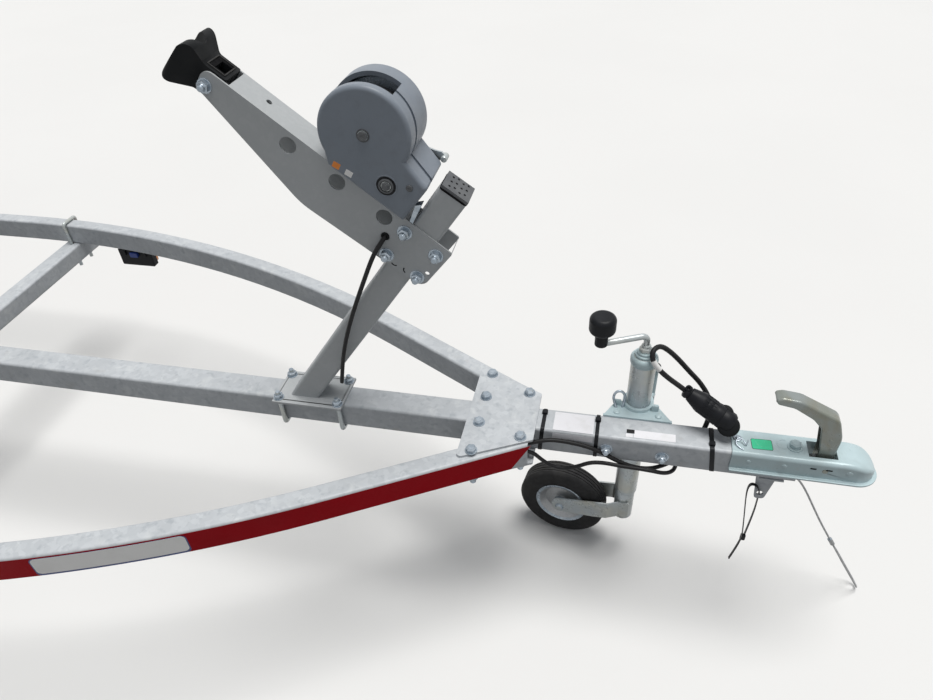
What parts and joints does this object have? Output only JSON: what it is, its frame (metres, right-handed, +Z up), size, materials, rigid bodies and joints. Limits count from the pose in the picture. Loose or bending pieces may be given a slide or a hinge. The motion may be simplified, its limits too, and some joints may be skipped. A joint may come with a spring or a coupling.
{
  "type": "boat trailer",
  "caption": "single-axle galvanised boat trailer with a bowed frame, winch post with bow stop and strap winch, ball coupling, jockey wheel, keel rollers and bunks",
  "frame": {"origin": "on the floor, below the middle of the trailer's length and width, free cords left out", "axes": "+X forward to the coupling, +Y to the left side, +Z up"},
  "size_m": [5.3861, 1.68, 1.1598],
  "materials": {
    "galvanised_steel": "hot-dip galvanised, mottled and dull",
    "zinc_plated_steel": "zinc plated, lightly stained",
    "black_rubber": "matt black rubber",
    "tyre_rubber": "weathered tyre rubber",
    "silver_paint": "silver painted steel",
    "black_plastic": "moulded black plastic",
    "grey_plastic": "moulded grey plastic",
    "strap_webbing": "woven strap",
    "bunk_carpet": "ribbed bunk carpet",
    "amber_lens": "amber lens",
    "red_lens": "red lens",
    "white_plate": "blank white plate",
    "cable_sheath": "black cable sheath",
    "wire_rope": "thin steel rope"
  },
  "bodies": {
    "frame": {"axle_pads": "galvanised_steel", "axle_tube": "galvanised_steel", "base_plate": "galvanised_steel", "bow_stop": "black_rubber", "bunk_posts": "galvanised_steel", "bunks": "bunk_carpet", "cable_tie": "black_plastic", "centre_tube": "galvanised_steel", "coupling_body": "zinc_plated_steel", "cross_members": "galvanised_steel", "front_plates": "galvanised_steel", "hanging_cord": "cable_sheath", "jockey_clamp": "zinc_plated_steel", "jockey_clamp_knob": "black_plastic", "jockey_tube": "zinc_plated_steel", "keel_brackets": "galvanised_steel", "light_board": "black_plastic", "light_board_arms": "galvanised_steel", "marker_housings": "black_plastic", "marker_lenses": "amber_lens", "mudguard_stays": "galvanised_steel", "mudguards": "black_plastic", "number_plate": "white_plate", "plug": "black_plastic", "plug_lead": "cable_sheath", "post_cap": "grey_plastic", "safety_bracket": "galvanised_steel", "safety_wire": "wire_rope", "safety_wire_eye": "wire_rope", "side_rails": "galvanised_steel", "slack_lead": "cable_sheath", "swing_arms": "zinc_plated_steel", "tail_lamps": "red_lens", "u_bolts": "zinc_plated_steel", "winch_arm": "galvanised_steel", "winch_housing": "grey_plastic", "winch_post": "galvanised_steel", "wiring_lead": "cable_sheath"},
    "wheel_left": {"tyre_left": "tyre_rubber", "rim_left": "silver_paint", "hub_left": "zinc_plated_steel"},
    "wheel_right": {"tyre_right": "tyre_rubber", "rim_right": "silver_paint", "hub_right": "zinc_plated_steel"},
    "jockey_leg": {"jockey_leg": "zinc_plated_steel"},
    "jockey_fork": {"jockey_fork": "zinc_plated_steel"},
    "jockey_wheel": {"jockey_rim": "silver_paint", "jockey_tyre": "black_rubber"},
    "jockey_crank": {"jockey_crank": "zinc_plated_steel", "jockey_knob": "black_plastic"},
    "coupling_lever": {"coupling_lever": "zinc_plated_steel"},
    "winch_drum": {"winch_drum": "zinc_plated_steel", "winch_strap": "strap_webbing"},
    "winch_crank": {"winch_crank": "zinc_plated_steel", "winch_grip": "black_rubber"},
    "keel_roller_1": {"keel_roller_1": "black_rubber"},
    "keel_roller_2": {"keel_roller_2": "black_rubber"},
    "keel_roller_3": {"keel_roller_3": "black_rubber"},
    "keel_roller_4": {"keel_roller_4": "black_rubber"}
  },
  "joints": [
    {"name": "wheel_left_spin", "type": "hinge", "parent": "frame", "child": "wheel_left", "pos_m": [-0.87061, 0.728, 0.2735], "axis": [0, 1, 0], "continuous": true},
    {"name": "wheel_right_spin", "type": "hinge", "parent": "frame", "child": "wheel_right", "pos_m": [-0.87061, -0.728, 0.2735], "axis": [0, 1, 0], "continuous": true},
    {"name": "jockey_extend", "type": "slide", "parent": "frame", "child": "jockey_leg", "axis": [0, 0, -1], "range_m": [0, 0.2]},
    {"name": "jockey_swivel", "type": "hinge", "parent": "jockey_leg", "child": "jockey_fork", "pos_m": [2.214, 0.072, 0.186], "axis": [0, 0, 1], "continuous": true},
    {"name": "jockey_wheel_spin", "type": "hinge", "parent": "jockey_fork", "child": "jockey_wheel", "pos_m": [2.076, 0.09559, 0.1], "axis": [0.1685, 0.9857, 0], "continuous": true},
    {"name": "jockey_crank_turn", "type": "hinge", "parent": "frame", "child": "jockey_crank", "pos_m": [2.214, 0.072, 0.6], "axis": [0, 0, 1], "continuous": true},
    {"name": "coupling_lever_lift", "type": "hinge", "parent": "frame", "child": "coupling_lever", "pos_m": [2.552, 0, 0.43], "axis": [0, 1, 0], "range_deg": [-20, 0]},
    {"name": "winch_drum_spin", "type": "hinge", "parent": "frame", "child": "winch_drum", "pos_m": [1.76073, 0, 1.03749], "axis": [0, 1, 0], "continuous": true},
    {"name": "winch_crank_turn", "type": "hinge", "parent": "frame", "child": "winch_crank", "pos_m": [1.78682, 0, 0.95847], "axis": [0, 1, 0], "continuous": true},
    {"name": "keel_roller_1_spin", "type": "hinge", "parent": "frame", "child": "keel_roller_1", "pos_m": [0.322, 0, 0.513], "axis": [0, 1, 0], "continuous": true},
    {"name": "keel_roller_2_spin", "type": "hinge", "parent": "frame", "child": "keel_roller_2", "pos_m": [-0.538, 0, 0.513], "axis": [0, 1, 0], "continuous": true},
    {"name": "keel_roller_3_spin", "type": "hinge", "parent": "frame", "child": "keel_roller_3", "pos_m": [-1.428, 0, 0.513], "axis": [0, 1, 0], "continuous": true},
    {"name": "keel_roller_4_spin", "type": "hinge", "parent": "frame", "child": "keel_roller_4", "pos_m": [-2.288, 0, 0.513], "axis": [0, 1, 0], "continuous": true}
  ],
  "couplings": [
    {"joint": "winch_crank_turn", "follows": "winch_drum_spin", "ratio": -4}
  ]
}
